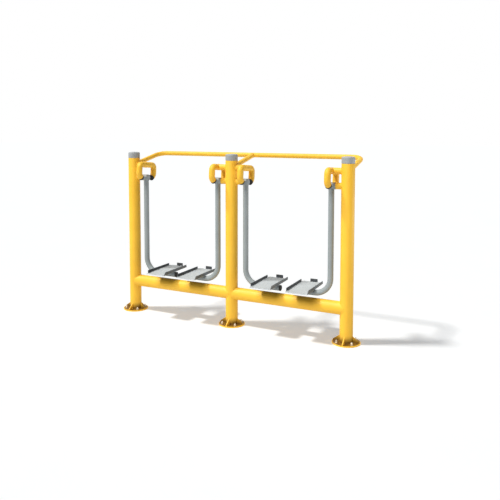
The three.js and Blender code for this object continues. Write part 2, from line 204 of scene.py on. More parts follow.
# Weld beads. A lower tube is as thick as the posts, so its bead runs a little inside its surface.
# The strut's bead lies a share of the rail's radius short of the rail's axis.
BEAD_R = 3 * MM
RAIL_BEAD_R = 2.5 * MM
SMALL_BEAD_R = 2 * MM
LOWER_BEAD_PATH_R = POST_R - 0.5 * MM
STRUT_BEAD_SHARE = 0.85
BEAD_SEGMENTS = 8
BEAD_STEPS = 72

# Fineness of the meshes
BIG_TUBE_SEGMENTS = 64
TUBE_SEGMENTS = 40
FLANGE_SEGMENTS = 96
FASTENER_SEGMENTS = 36
SMALL_SEGMENTS = 24
RAIL_BEND_STEPS = 16
STOP_BEND_STEPS = 10
ARM_BEND_STEPS = 20
CAP_EDGE_STEPS = 6
EDGE_STEPS = 4
FINE_EDGE_STEPS = 2
CORNER_STEPS = 8
SHARP_ANGLE = math.radians(32)
MERGE_DISTANCE = 0.0001 * MM

# Where a tube that is cut to fit on a post starts, inside the post
TUBE_START = 30 * MM

# Painted shade around the posts' feet, brown: its colour, the radii between which it fades, the
# height where it ends, and how far from a gusset's middle it starts and is full
PAINTED_ROOT_SHADE = (0.085, 0.030, 0.002)
ROOT_SHADE_INNER = 104 * MM
ROOT_SHADE_OUTER = 118 * MM
ROOT_SHADE_HEIGHT = 80 * MM
ROOT_SHADE_GUSSET_START = GUSSET_HALF + 0.4 * MM
ROOT_SHADE_GUSSET_END = GUSSET_HALF + 4 * MM


# Shader building
def shader(name, metallic=0.0):
    mat = bpy.data.materials.new(name)
    mat.use_nodes = True
    tree = mat.node_tree
    surface = tree.nodes["Principled BSDF"]
    surface.inputs["Metallic"].default_value = metallic
    place = tree.nodes.new("ShaderNodeTexCoord").outputs["Object"]
    return mat, tree, surface, place


def noise(tree, place, scale, detail):
    node = tree.nodes.new("ShaderNodeTexNoise")
    node.inputs["Scale"].default_value = scale
    node.inputs["Detail"].default_value = detail
    node.inputs["Roughness"].default_value = 0.55
    tree.links.new(place, node.inputs["Vector"])
    return node.outputs["Fac"]


def ramp(tree, factor, start, end):
    """Runs from one number or colour to another: start and end are (factor, value) pairs."""
    node = tree.nodes.new("ShaderNodeValToRGB")
    for element, (position, value) in zip(node.color_ramp.elements, (start, end)):
        element.position = position
        element.color = (*value, 1) if isinstance(value, tuple) else (value, value, value, 1)
    tree.links.new(factor, node.inputs["Fac"])
    return node.outputs["Color"]


def clouded(tree, place, scale, detail, low, high):
    """Noise that drifts between two numbers or two colours."""
    return ramp(tree, noise(tree, place, scale, detail), (0.3, low), (0.7, high))


def mixed(tree, factor, below, colour):
    """A plain colour laid over what is below."""
    node = tree.nodes.new("ShaderNodeMix")
    node.data_type = "RGBA"
    tree.links.new(factor, node.inputs[0])
    tree.links.new(below, node.inputs[6])
    node.inputs[7].default_value = (*colour, 1)
    return node.outputs[2]


def finish(tree, surface, colour, roughness):
    tree.links.new(colour, surface.inputs["Base Color"])
    tree.links.new(roughness, surface.inputs["Roughness"])


def bump(tree, surface, height, strength, distance):
    node = tree.nodes.new("ShaderNodeBump")
    node.inputs["Strength"].default_value = strength
    node.inputs["Distance"].default_value = distance
    tree.links.new(height, node.inputs["Height"])
    tree.links.new(node.outputs["Normal"], surface.inputs["Normal"])


def span(tree, value, low, high, first=0.0, second=1.0):
    """A value run from low to high, as first to second."""
    node = tree.nodes.new("ShaderNodeMapRange")
    node.interpolation_type = "SMOOTHSTEP"
    node.inputs["From Min"].default_value = low
    node.inputs["From Max"].default_value = high
    node.inputs["To Min"].default_value = first
    node.inputs["To Max"].default_value = second
    tree.links.new(value, node.inputs["Value"])
    return node.outputs["Result"]


def arithmetic(tree, operation, *values):
    node = tree.nodes.new("ShaderNodeMath")
    node.operation = operation
    for socket, value in zip(node.inputs, values):
        if isinstance(value, bpy.types.NodeSocket):
            tree.links.new(value, socket)
        else:
            socket.default_value = value
    return node.outputs[0]


# Materials
def painted_root_shade(tree, place):
    """Painted brown shade around each post's foot, off the gussets that stand in front and behind.
    """
    split = tree.nodes.new("ShaderNodeSeparateXYZ")
    tree.links.new(place, split.inputs[0])
    across = arithmetic(tree, "WRAP", split.outputs["X"], BAY / 2, -BAY / 2)
    flat = tree.nodes.new("ShaderNodeCombineXYZ")
    tree.links.new(across, flat.inputs["X"])
    tree.links.new(split.outputs["Y"], flat.inputs["Y"])
    radius = tree.nodes.new("ShaderNodeVectorMath")
    radius.operation = "LENGTH"
    tree.links.new(flat.outputs[0], radius.inputs[0])
    close = span(tree, radius.outputs["Value"], ROOT_SHADE_INNER, ROOT_SHADE_OUTER, 1.0, 0.0)
    low = span(tree, split.outputs["Z"], FLANGE_T / 2, ROOT_SHADE_HEIGHT, 1.0, 0.0)
    beside = arithmetic(tree, "ABSOLUTE", across)
    off_gussets = span(tree, beside, ROOT_SHADE_GUSSET_START, ROOT_SHADE_GUSSET_END)
    uneven = clouded(tree, place, scale=45.0, detail=4.0, low=0.80, high=1.0)
    product = arithmetic(tree, "MULTIPLY", arithmetic(tree, "MULTIPLY", close, low), off_gussets)
    return arithmetic(tree, "MULTIPLY", product, uneven)


def coated(name, light, dark, dust, roughness_range, peel):
    """Powder coat or enamel: soft tone shifts, orange peel, and painted shade at the posts' feet.
    """
    mat, tree, surface, place = shader(name)
    surface.inputs["Specular IOR Level"].default_value = 0.35
    tone = ramp(tree, noise(tree, place, scale=3.5, detail=4.0), (0.35, dark), (0.65, light))
    film = ramp(tree, noise(tree, place, scale=24.0, detail=5.0), (0.5, 0.0), (0.8, 0.08))
    dusty = mixed(tree, film, tone, dust)
    # painted shade at the posts' feet, laid over the coat's own colour
    colour = mixed(tree, painted_root_shade(tree, place), dusty, PAINTED_ROOT_SHADE)
    finish(tree, surface, colour, clouded(tree, place, 60.0, 2.0, *roughness_range))
    bump(tree, surface, noise(tree, place, scale=620.0, detail=2.0), peel, distance=0.4 * MM)
    return mat


YELLOW = coated(
    "yellow_powder_coat",
    light=(0.96, 0.555, 0.044),
    dark=(0.91, 0.51, 0.036),
    dust=(0.42, 0.30, 0.14),
    roughness_range=(0.42, 0.55),
    peel=0.12,
)
ENAMEL = coated(
    "grey_enamel",
    light=(0.325, 0.36, 0.365),
    dark=(0.275, 0.31, 0.318),
    dust=(0.26, 0.25, 0.22),
    roughness_range=(0.30, 0.45),
    peel=0.15,
)


def moulded(name, light, dark, roughness_range, grain, strength):
    """Matt plastic, rubber or dark coating with a fine grain."""
    mat, tree, surface, place = shader(name)
    tone = clouded(tree, place, scale=18.0, detail=5.0, low=dark, high=light)
    finish(tree, surface, tone, clouded(tree, place, 90.0, 3.0, *roughness_range))
    bump(tree, surface, noise(tree, place, grain, detail=3.0), strength, distance=0.4 * MM)
    return mat


CAP_PLASTIC = moulded(
    "grey_plastic",
    light=(0.36, 0.38, 0.385),
    dark=(0.30, 0.32, 0.33),
    roughness_range=(0.45, 0.62),
    grain=900.0,
    strength=0.25,
)
# Near black, for the lips' inner faces
DARK_INNER_FACES = moulded(
    "dark_inner_face",
    light=(0.060, 0.066, 0.072),
    dark=(0.035, 0.040, 0.046),
    roughness_range=(0.60, 0.80),
    grain=800.0,
    strength=0.4,
)
# A darker copy of the sheet for the plate's underside and the lips' outer faces and rims: painted
# shade
SHADED_SHEET = moulded(
    "shaded_sheet",
    light=(0.14, 0.155, 0.165),
    dark=(0.10, 0.112, 0.12),
    roughness_range=(0.45, 0.65),
    grain=700.0,
    strength=0.3,
)
RUBBER = moulded(
    "black_rubber",
    light=(0.012, 0.012, 0.012),
    dark=(0.006, 0.006, 0.006),
    roughness_range=(0.70, 0.90),
    grain=700.0,
    strength=0.35,
)


def bare_metal(name, light, dark, roughness_range, scale):
    """Plated or turned metal; its roughness and relief are finer than its tone."""
    mat, tree, surface, place = shader(name, metallic=0.9)
    tone = clouded(tree, place, scale, detail=6.0, low=dark, high=light)
    finish(tree, surface, tone, clouded(tree, place, scale * 3, 3.0, *roughness_range))
    relief = noise(tree, place, scale * 12, detail=2.0)
    bump(tree, surface, relief, strength=0.15, distance=0.3 * MM)
    return mat


ZINC = bare_metal("zinc_plate", (0.80, 0.70, 0.54), (0.52, 0.43, 0.31), (0.22, 0.45), scale=70.0)
STEEL = bare_metal("bright_steel", (0.60, 0.61, 0.62), (0.42, 0.43, 0.44), (0.25, 0.45), scale=50.0)
BRONZE = bare_metal("bronze", (0.62, 0.42, 0.18), (0.45, 0.29, 0.11), (0.30, 0.50), scale=60.0)


def tread_sheet(name):
    """Galvanised tread sheet: spangle, dark specks and rows of small raised studs."""
    mat, tree, surface, place = shader(name, metallic=0.08)
    surface.inputs["Specular IOR Level"].default_value = 0.3
    spangle = tree.nodes.new("ShaderNodeTexVoronoi")
    spangle.inputs["Scale"].default_value = 120.0
    tree.links.new(place, spangle.inputs["Vector"])
    dark, light = (0.46, 0.495, 0.51), (0.56, 0.595, 0.61)
    grain = ramp(tree, spangle.outputs["Color"], (0.1, dark), (0.9, light))
    specks = ramp(tree, noise(tree, place, scale=150.0, detail=2.0), (0.56, 0.0), (0.66, 0.55))
    colour = mixed(tree, specks, grain, (0.20, 0.21, 0.22))
    roughness = clouded(tree, place, scale=45.0, detail=3.0, low=0.55, high=0.75)
    finish(tree, surface, colour, roughness)
    studs = tree.nodes.new("ShaderNodeTexVoronoi")
    studs.inputs["Scale"].default_value = 62.0
    studs.inputs["Randomness"].default_value = 0.0
    tree.links.new(place, studs.inputs["Vector"])
    raised = ramp(tree, studs.outputs["Distance"], (0.18, 1.0), (0.34, 0.0))
    bump(tree, surface, raised, strength=0.5, distance=1.2 * MM)
    return mat


TREAD = tread_sheet("tread_plate")

SLOT_MATERIALS = {
    "yellow_powder_coat": YELLOW,
    "grey_enamel": ENAMEL,
    "grey_plastic": CAP_PLASTIC,
    "zinc_plate": ZINC,
    "bright_steel": STEEL,
    "bronze": BRONZE,
    "tread_plate": TREAD,
    "black_rubber": RUBBER,
}


# Tubes. A seat is a round surface that a tube's end is cut to fit on, given as a place on its
# axis, its axis and its radius.
def seat_axes(seat, centre):
    """The tube's own direction, and the directions out from the seat's axis and across the tube."""
    place, axis, _ = seat
    along = (centre - place).normalized()
    outward = (along - axis * along.dot(axis)).normalized()
    return along, outward, axis.cross(outward)


def seated(ring, seat):
    """The ring's points slid along their tube onto its seat."""
    place, _, radius = seat
    along, outward, across = seat_axes(seat, sum(ring, Vector()) / len(ring))
    result = []
    for p in ring:
        offset = p - place
        reach = math.sqrt(radius**2 - offset.dot(across) ** 2)
        result.append(p + along * ((reach - offset.dot(outward)) / along.dot(outward)))
    return result


def close_on_seat(bm, row, seat):
    """Closes a seated end with strips that lie on the seat."""
    count = len(row)
    across = seat_axes(seat, sum((v.co for v in row), Vector()) / count)[2]
    peak = max(range(count), key=lambda i: row[i].co.dot(across))
    for i in range(count // 2):
        around = (peak + i, peak + i + 1, peak - i - 1, peak - i)
        strip = dict.fromkeys(row[k % count] for k in around)
        bm.faces.new(list(strip))


def skin(bm, rows, looped=False, material=0):
    """Joins each row of vertices to the next, and the last to the first in a loop."""
    pairs = list(zip(rows, rows[1:]))
    if looped:
        pairs.append((rows[-1], rows[0]))
    for first, second in pairs:
        for i in range(len(first)):
            j = (i + 1) % len(first)
            face = bm.faces.new((first[i], first[j], second[j], second[i]))
            face.material_index = material


def loft(bm, rings, looped=False, seats=(None, None)):
    """Skins a row of rings of points; the ends are closed with flat faces, or on their seats."""
    rows = [[bm.verts.new(p) for p in ring] for ring in rings]
    skin(bm, rows, looped)
    if looped:
        return
    for row, seat in zip((rows[0], rows[-1]), seats):
        if seat:
            close_on_seat(bm, row, seat)
        else:
            bm.faces.new(row)


def circle(centre, first, second, radius, segments):
    turns = (FULL_TURN * i / segments for i in range(segments))
    return [
        centre + first * (radius * math.cos(t)) + second * (radius * math.sin(t)) for t in turns
    ]


def sweep(bm, stations, radius, normal, segments=TUBE_SEGMENTS, seats=(None, None)):
    """A round tube through stations that lie in the plane square to normal; an end with a seat
    is cut to fit on it."""
    rings = []
    for i, station in enumerate(stations):
        before = stations[max(i - 1, 0)]
        after = stations[min(i + 1, len(stations) - 1)]
        across = normal.cross(after - before).normalized()
        rings.append(circle(station, across, normal, radius, segments))
    for end, seat in zip((0, -1), seats):
        if seat:
            rings[end] = seated(rings[end], seat)
    loft(bm, rings, seats=seats)


def post_seat(centre):
    """The seat on a post for a tube that leaves the post's axis at centre."""
    return (centre, Z_AXIS, POST_SEAT_R)


def rounded_path(corners, radii, steps):
    """The way through the corners, with a bend of the given radius at each inner one."""
    path = [corners[0]]
    for before, corner_point, after, radius in zip(corners, corners[1:], corners[2:], radii):
        arriving = (corner_point - before).normalized()
        leaving = (after - corner_point).normalized()
        turn = arriving.angle(leaving)
        start = corner_point - arriving * (radius * math.tan(turn / 2))
        inward = (leaving - arriving * math.cos(turn)).normalized()
        for step in range(steps + 1):
            angle = turn * step / steps
            forward, sideways = radius * math.sin(angle), radius * (1 - math.cos(angle))
            path.append(start + arriving * forward + inward * sideways)
    path.append(corners[-1])
    return path


# Turned forms
def lathe(bm, profile, origin, axis, segments=TUBE_SEGMENTS):
    """Turns a profile of (radius, distance along axis) pairs about the axis."""
    side = axis.orthogonal().normalized()
    other = axis.cross(side)
    loft(bm, [circle(origin + axis * h, side, other, r, segments) for r, h in profile])


def rounded_profile(radius, length, edge, steps=EDGE_STEPS, both=False):
    """A cylinder's profile with its far edge rounded, and its near edge too if asked."""
    arc = [QUARTER_TURN * i / steps for i in range(steps + 1)]
    far = [
        (radius - edge * (1 - math.cos(a)), length - edge * (1 - math.sin(a))) for a in arc
    ]
    near = [(r, length - h) for r, h in reversed(far)] if both else [(radius, 0.0)]
    return near + far


# Flat forms
def shrunk(outline, inset):
    """The outline, anticlockwise, drawn in by inset; a sharp corner moves twice that at most."""
    result = []
    count = len(outline)
    for i, p in enumerate(outline):
        before = (p - outline[i - 1]).normalized()
        after = (outline[(i + 1) % count] - p).normalized()
        first = Vector((-before.y, before.x))
        second = Vector((-after.y, after.x))
        middle = (first + second).normalized()
        result.append(p + middle * (inset / max(middle.dot(first), 0.5)))
    return result


def prism(
    bm,
    outline,
    low,
    high,
    chamfer,
    place=Matrix.Identity(4),
    holes=(),
    rim_material=0,
    low_material=0,
    high_material=0,
):
    """A flat plate with chamfered rims: outline and holes are 2-D, place sets it in the frame."""

    def wall(points):
        drawn = shrunk(points, chamfer)
        levels = [(drawn, low), (points, low + chamfer), (points, high - chamfer), (drawn, high)]
        rows = [
            [bm.verts.new(place @ Vector((p.x, p.y, z))) for p in shape] for shape, z in levels
        ]
        skin(bm, rows, material=rim_material)
        return drawn, rows[0], rows[-1]

    rims, low_rows, high_rows = zip(*[wall(points) for points in (outline, *holes)])
    flat = [[Vector((p.x, p.y, 0)) for p in rim] for rim in rims]
    triangles = tessellate_polygon(flat)
    for rows, material in ((low_rows, low_material), (high_rows, high_material)):
        verts = [v for row in rows for v in row]
        for triangle in triangles:
            bm.faces.new([verts[i] for i in triangle]).material_index = material


def round_outline(centre, radius, count, start=0.0, turning=1):
    """Points around a circle, anticlockwise; turning is -1 for the clockwise rim of a hole."""
    turns = (start + turning * FULL_TURN * i / count for i in range(count))
    return [centre + Vector((math.cos(t), math.sin(t))) * radius for t in turns]


def corner(x, y, radius, quarter):
    """A quarter turn, anticlockwise from the given quarter."""
    turns = (QUARTER_TURN * (quarter + i / CORNER_STEPS) for i in range(CORNER_STEPS + 1))
    return [Vector((x + radius * math.cos(t), y + radius * math.sin(t))) for t in turns]


def lip_outline(length, near_height, far_height, ramp_length=0.0):
    """A lip with rounded upper corners, or with a slope up from its near end."""
    near, far = near_height + PLATE_T / 2, far_height + PLATE_T / 2
    shape = [Vector((0, 0)), Vector((length, 0))]
    shape += corner(length - LIP_CORNER, far - LIP_CORNER, LIP_CORNER, 0)
    if ramp_length:
        return shape + [Vector((ramp_length, near))]
    return shape + corner(LIP_CORNER, near - LIP_CORNER, LIP_CORNER, 1)


# Weld beads
def weld_bead(bm, seam, radius):
    """A round bead along a closed seam, given as points and the directions off the tube there."""
    rings = []
    for i, (point, outward) in enumerate(seam):
        tangent = (seam[(i + 1) % len(seam)][0] - seam[i - 1][0]).normalized()
        first = (outward - tangent * outward.dot(tangent)).normalized()
        rings.append(circle(point, first, tangent.cross(first), radius, BEAD_SEGMENTS))
    loft(bm, rings, looped=True)


def saddle(bm, centre, along, base_axis, tube_r, base_r, bead_r=BEAD_R):
    """A bead where a tube that runs along from centre comes out of a round base."""
    across = base_axis.cross(along)
    seam = []
    for outward in circle(Vector(), base_axis, across, 1.0, BEAD_STEPS):
        reach = math.sqrt(base_r**2 - (tube_r * outward.dot(across)) ** 2)
        seam.append((centre + outward * tube_r + along * reach, outward))
    weld_bead(bm, seam, bead_r)


def hoop(bm, centre, axis, tube_r, bead_r=BEAD_R):
    """A bead square around a tube."""
    side = axis.orthogonal().normalized()
    directions = circle(Vector(), side, axis.cross(side), 1.0, BEAD_STEPS)
    weld_bead(bm, [(centre + out * tube_r, out) for out in directions], bead_r)


def piece(name, bm, body, node, slot, *more_materials):
    """Makes the mesh a piece that rides on body and stands for the CAD node."""
    bmesh.ops.remove_doubles(bm, verts=bm.verts, dist=MERGE_DISTANCE)
    bmesh.ops.recalc_face_normals(bm, faces=bm.faces)
    mesh = bpy.data.meshes.new(name)
    bm.to_mesh(mesh)
    bm.free()
    for mat in (SLOT_MATERIALS[slot], *more_materials):
        mesh.materials.append(mat)
    mesh.polygons.foreach_set("use_smooth", [True] * len(mesh.polygons))
    mesh.set_sharp_from_angle(angle=SHARP_ANGLE)
    obj = bpy.data.objects.new(name, mesh)
    bpy.context.scene.collection.objects.link(obj)
    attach(obj, body)
    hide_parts(node)


# Posts, caps, base flanges and anchor bolts
def anchor_places(x):
    """The bolts' places around the post at x, midway between its gussets."""
    start = FULL_TURN / ANCHOR_COUNT / 2
    return round_outline(Vector((x, 0)), ANCHOR_CIRCLE_R, ANCHOR_COUNT, start)


def make_post(name, x):
    bm = bmesh.new()
    foot = Vector((x, 0, POST_BOTTOM))
    profile = rounded_profile(POST_R, POST_TOP - POST_BOTTOM, POST_EDGE, FINE_EDGE_STEPS)
    lathe(bm, profile, foot, Z_AXIS, BIG_TUBE_SEGMENTS)
    hoop(bm, foot, Z_AXIS, POST_R)
    piece(f"{name}_post_body", bm, "frame", f"{name}_post", "yellow_powder_coat")


def make_cap(name, x):
    bm = bmesh.new()
    shoulder = rounded_profile(CAP_R, CAP_HEIGHT - CAP_DOME, CAP_EDGE_R, CAP_EDGE_STEPS)
    profile = [(CAP_R - CAP_CHAMFER, 0.0), (CAP_R, CAP_CHAMFER)] + shoulder[1:]
    dome_r = CAP_R - CAP_EDGE_R
    profile += [(dome_r * share, CAP_HEIGHT - CAP_DOME * share**2) for share in CAP_DOME_SHARES]
    lathe(bm, profile, Vector((x, 0, CAP_BOTTOM)), Z_AXIS, BIG_TUBE_SEGMENTS)
    piece(f"{name}_cap_shell", bm, "frame", f"{name}_post_cap", "grey_plastic")


def make_flange(name, x):
    bm = bmesh.new()
    rim = round_outline(Vector((x, 0)), FLANGE_RIM_R, FLANGE_SEGMENTS)
    holes = [
        round_outline(place, ANCHOR_HOLE_R, SMALL_SEGMENTS, turning=-1)
        for place in anchor_places(x)
    ]
    prism(bm, rim, 0.0, FLANGE_T, FLANGE_CHAMFER, holes=holes)
    inner, outer = POST_SEAT_R, FLANGE_R - GUSSET_RIM
    outline = [
        Vector((inner, FLANGE_T / 2)),
        Vector((outer, FLANGE_T / 2)),
        Vector((outer, FLANGE_T + GUSSET_TIP_HEIGHT)),
        Vector((inner, FLANGE_T + GUSSET_HEIGHT)),
    ]
    upright = Matrix.Rotation(QUARTER_TURN, 4, "X")
    for i in range(GUSSET_COUNT):
        around = Matrix.Rotation(FULL_TURN * i / GUSSET_COUNT, 4, "Z")
        turn = Matrix.Translation((x, 0, 0)) @ around @ upright
        prism(bm, outline, -GUSSET_HALF, GUSSET_HALF, GUSSET_CHAMFER, turn)
        for z in (-GUSSET_HALF, GUSSET_HALF):
            seam = [turn @ Vector((end, FLANGE_T, z)) for end in (inner, outer)]
            sweep(bm, seam, SMALL_BEAD_R, turn.to_3x3() @ Y_AXIS, BEAD_SEGMENTS)
    piece(f"{name}_flange_plate", bm, "frame", f"{name}_base_flange", "yellow_powder_coat")


def make_anchor(name, index, place):
    """A washer, a hexagon nut with chamfered corners, and a threaded stud."""
    bm = bmesh.new()
    seat = Vector((place.x, place.y, FLANGE_T + SEAT_GAP))
    washer = rounded_profile(WASHER_R, WASHER_T, WASHER_EDGE, FINE_EDGE_STEPS, both=True)
    lathe(bm, washer, seat, Z_AXIS, FASTENER_SEGMENTS)
    nut_top = WASHER_T + NUT_HEIGHT
    flat_reach = NUT_ACROSS_FLATS / 2
    hexagon = []
    for i in range(FASTENER_SEGMENTS):
        t = FULL_TURN * i / FASTENER_SEGMENTS
        off_flat = t % (FULL_TURN / NUT_SIDES) - FULL_TURN / NUT_SIDES / 2
        reach = flat_reach / math.cos(off_flat)
        hexagon.append(Vector((reach * math.cos(t), reach * math.sin(t), 0)))
    face = [p.normalized() * (flat_reach * NUT_FACE_SHARE) for p in hexagon]
    levels = [
        (face, WASHER_T),
        (hexagon, WASHER_T + NUT_CHAMFER),
        (hexagon, nut_top - NUT_CHAMFER),
        (face, nut_top),
    ]
    loft(bm, [[seat + p + Z_AXIS * h for p in shape] for shape, h in levels])
    stud = [(STUD_END_R, -STUD_DEPTH), (THREAD_R, 0.0), (THREAD_R, nut_top)]
    for i in range(THREAD_COUNT):
        root = nut_top + THREAD_PITCH * (i + 0.25)
        crest = nut_top + THREAD_PITCH * (i + 0.75)
        stud += [(THREAD_ROOT_R, root), (THREAD_R, crest)]
    stud.append((STUD_END_R, nut_top + STUD_STICK_OUT))
    lathe(bm, stud, seat, Z_AXIS, SMALL_SEGMENTS)
    piece(f"{name}_anchor_{index}", bm, "frame", f"{name}_anchor_bolt_{index}", "zinc_plate")


for post_name, post_x in POSTS:
    make_post(post_name, post_x)
    make_cap(post_name, post_x)
    make_flange(post_name, post_x)
    for number, spot in enumerate(anchor_places(post_x), 1):
        make_anchor(post_name, number, spot)


# Lower tubes and handrail
def make_lower_tube(name, left_x):
    bm = bmesh.new()
    left, right = (Vector((x, 0, LOWER_TUBE_Z)) for x in (left_x, left_x + BAY))
    ends = [left + X_AXIS * TUBE_START, right - X_AXIS * TUBE_START]
    seats = (post_seat(left), post_seat(right))
    sweep(bm, ends, POST_R, Y_AXIS, BIG_TUBE_SEGMENTS, seats)
    for centre, along in ((left, X_AXIS), (right, -X_AXIS)):
        saddle(bm, centre, along, Z_AXIS, LOWER_BEAD_PATH_R, POST_R)
    piece(f"{name}_cross_tube", bm, "frame", f"{name}_lower_tube", "yellow_powder_coat")


def make_handrail():
    """The long tube with its two bends, and the strut that joins it to the middle post."""
    bm = bmesh.new()
    root_z = RAIL_ROOT_Z + (RAIL_Z - RAIL_ROOT_Z) * TUBE_START / RAIL_Y
    roots = [Vector((x, TUBE_START, root_z)) for _, x in POSTS]
    tops = [Vector((x, RAIL_Y, RAIL_Z)) for _, x in POSTS]
    seats = [post_seat(Vector((x, 0, RAIL_ROOT_Z))) for _, x in POSTS]
    left, middle, right = range(len(POSTS))
    slope = (tops[left] - roots[left]).normalized()
    corners = [roots[left], tops[left], tops[right], roots[right]]
    path = rounded_path(corners, [RAIL_BEND_R] * 2, RAIL_BEND_STEPS)
    sweep(bm, path, RAIL_R, slope.cross(X_AXIS), seats=(seats[left], seats[right]))
    sweep(bm, [roots[middle], tops[middle]], RAIL_R, X_AXIS, seats=(seats[middle], None))
    to_surface = slope * ((POST_R - TUBE_START) / slope.y)
    for root in roots:
        hoop(bm, root + to_surface, slope, RAIL_R, RAIL_BEAD_R)
    strut_bead = tops[middle] - slope * (RAIL_R * STRUT_BEAD_SHARE)
    hoop(bm, strut_bead, slope, RAIL_R, RAIL_BEAD_R)
    piece("handrail_tube", bm, "frame", "handrail", "yellow_powder_coat")


make_lower_tube("left", -BAY)
make_lower_tube("right", 0.0)
make_handrail()


# Stop brackets, buffers, pivot stubs, swing arms, end plugs and foot plates
def stop_corners(x):
    """The corners of the bracket's tube around the pivot at x, from its front end to its back."""
    setback = STOP_CURL_R * math.tan(STOP_CURL_ANGLE / 2)
    knee = STOP_RISE - STOP_LEG_LENGTH - setback
    reach = setback + STOP_END_STRAIGHT
    end_y = STOP_LEG_Y - reach * math.sin(STOP_CURL_ANGLE)
    end_z = knee - reach * math.cos(STOP_CURL_ANGLE)
    front = [
        Vector((0, -end_y, end_z)),
        Vector((0, -STOP_LEG_Y, knee)),
        Vector((0, -STOP_LEG_Y, STOP_RISE)),
    ]
    back = [Vector((0, -p.y, p.z)) for p in reversed(front)]
    tilt = Matrix.Rotation(-STOP_TILT, 3, "X")
    return [tilt @ p + Vector((x, 0, PIVOT_Z)) for p in front + back]


def make_stop_bracket(name, post_x, side):
    bm = bmesh.new()
    x = post_x + side * PIVOT_OFFSET
    radii = [STOP_CURL_R, STOP_ELBOW_R, STOP_ELBOW_R, STOP_CURL_R]
    sweep(bm, rounded_path(stop_corners(x), radii, STOP_BEND_STEPS), STOP_R, X_AXIS)
    root, end = Vector((post_x, 0, STOP_STUB_Z)), Vector((x, 0, STOP_STUB_Z))
    along = X_AXIS * side
    seats = (post_seat(root), None)
    sweep(bm, [root + along * TUBE_START, end], STOP_STUB_R, Y_AXIS, seats=seats)
    saddle(bm, root, along, Z_AXIS, STOP_R, POST_R)
    saddle(bm, end, -along, Y_AXIS, STOP_STUB_R, STOP_R, SMALL_BEAD_R)
    piece(f"{name}_stop_tube", bm, "frame", f"{name}_stop_bracket", "yellow_powder_coat")


def make_buffer(name, label, corners):
    """The rubber on the bracket's end that comes first among the corners."""
    bm = bmesh.new()
    end, knee = corners[:2]
    outward = (end - knee).normalized()
    profile = rounded_profile(BUFFER_RIM_R, BUFFER_T, BUFFER_EDGE, both=True)
    lathe(bm, profile, end + outward * SEAT_GAP, outward)
    piece(f"{name}_{label}_rubber", bm, "frame", f"{name}_{label}_buffer", "black_rubber")


def make_pivot_stub(name, post_x, side):
    """The short tube on the post, bored for the axle in its end wall."""
    bm = bmesh.new()
    root = Vector((post_x, 0, PIVOT_Z))
    along = X_AXIS * side
    end = PIVOT_OFFSET - HUB_POST_REACH - HUB_CLEARANCE
    axle_hole, bore = AXLE_R + SEAT_GAP, STUB_R - STUB_WALL
    outside = rounded_profile(STUB_R, end, STUB_EDGE, FINE_EDGE_STEPS)
    profile = [(STUB_R, POST_R)] + outside[1:] + [
        (axle_hole, end),
        (axle_hole, end - STUB_END_WALL),
        (bore, end - STUB_END_WALL),
        (bore, POST_R),
    ]
    rings = [circle(root + along * h, Y_AXIS, Z_AXIS, r, TUBE_SEGMENTS) for r, h in profile]
    for open_end in (0, -1):
        rings[open_end] = seated(rings[open_end], post_seat(root))
    loft(bm, rings, looped=True)
    saddle(bm, root, along, Z_AXIS, STUB_R, POST_R)
    piece(f"{name}_pivot_housing", bm, "frame", f"{name}_pivot_stub", "yellow_powder_coat")


def make_arm(name, post_x, side):
    """The hub, bored for its bush, and the tube that hangs from it and bends under the plate."""
    bm = bmesh.new()
    pivot = Vector((post_x + side * PIVOT_OFFSET, 0, PIVOT_Z))
    along = X_AXIS * side
    hub_length = HUB_POST_REACH + HUB_FREE_REACH
    bore = HUB_R - HUB_WALL
    shell = [(bore, hub_length - HUB_END_WALL), (bore, 0.0)]
    shell += rounded_profile(HUB_R, hub_length, HUB_EDGE, both=True)
    lathe(bm, shell, pivot - along * HUB_POST_REACH, along)
    corners = [
        pivot - Z_AXIS * HUB_R,
        Vector((pivot.x, 0, FOOT_Z)),
        Vector((post_x + side * FOOT_END, 0, FOOT_Z)),
    ]
    path = rounded_path(corners, [ARM_BEND_R], ARM_BEND_STEPS)
    hub_seat = (pivot, X_AXIS, HUB_R - HUB_WALL / 2)
    sweep(bm, path, ARM_R, Y_AXIS, seats=(hub_seat, None))
    saddle(bm, pivot, -Z_AXIS, X_AXIS, ARM_R, HUB_R, SMALL_BEAD_R)
    piece(f"{name}_arm_tube", bm, f"{name}_arm_body", f"{name}_swing_arm", "grey_enamel")


def make_plug(name, post_x, side):
    bm = bmesh.new()
    start = Vector((post_x + side * (FOOT_END + SEAT_GAP), 0, FOOT_Z))
    lathe(bm, rounded_profile(PLUG_RIM_R, PLUG_LENGTH, PLUG_EDGE), start, X_AXIS * side)
    piece(f"{name}_plug_cap", bm, f"{name}_arm_body", f"{name}_end_plug", "black_rubber")


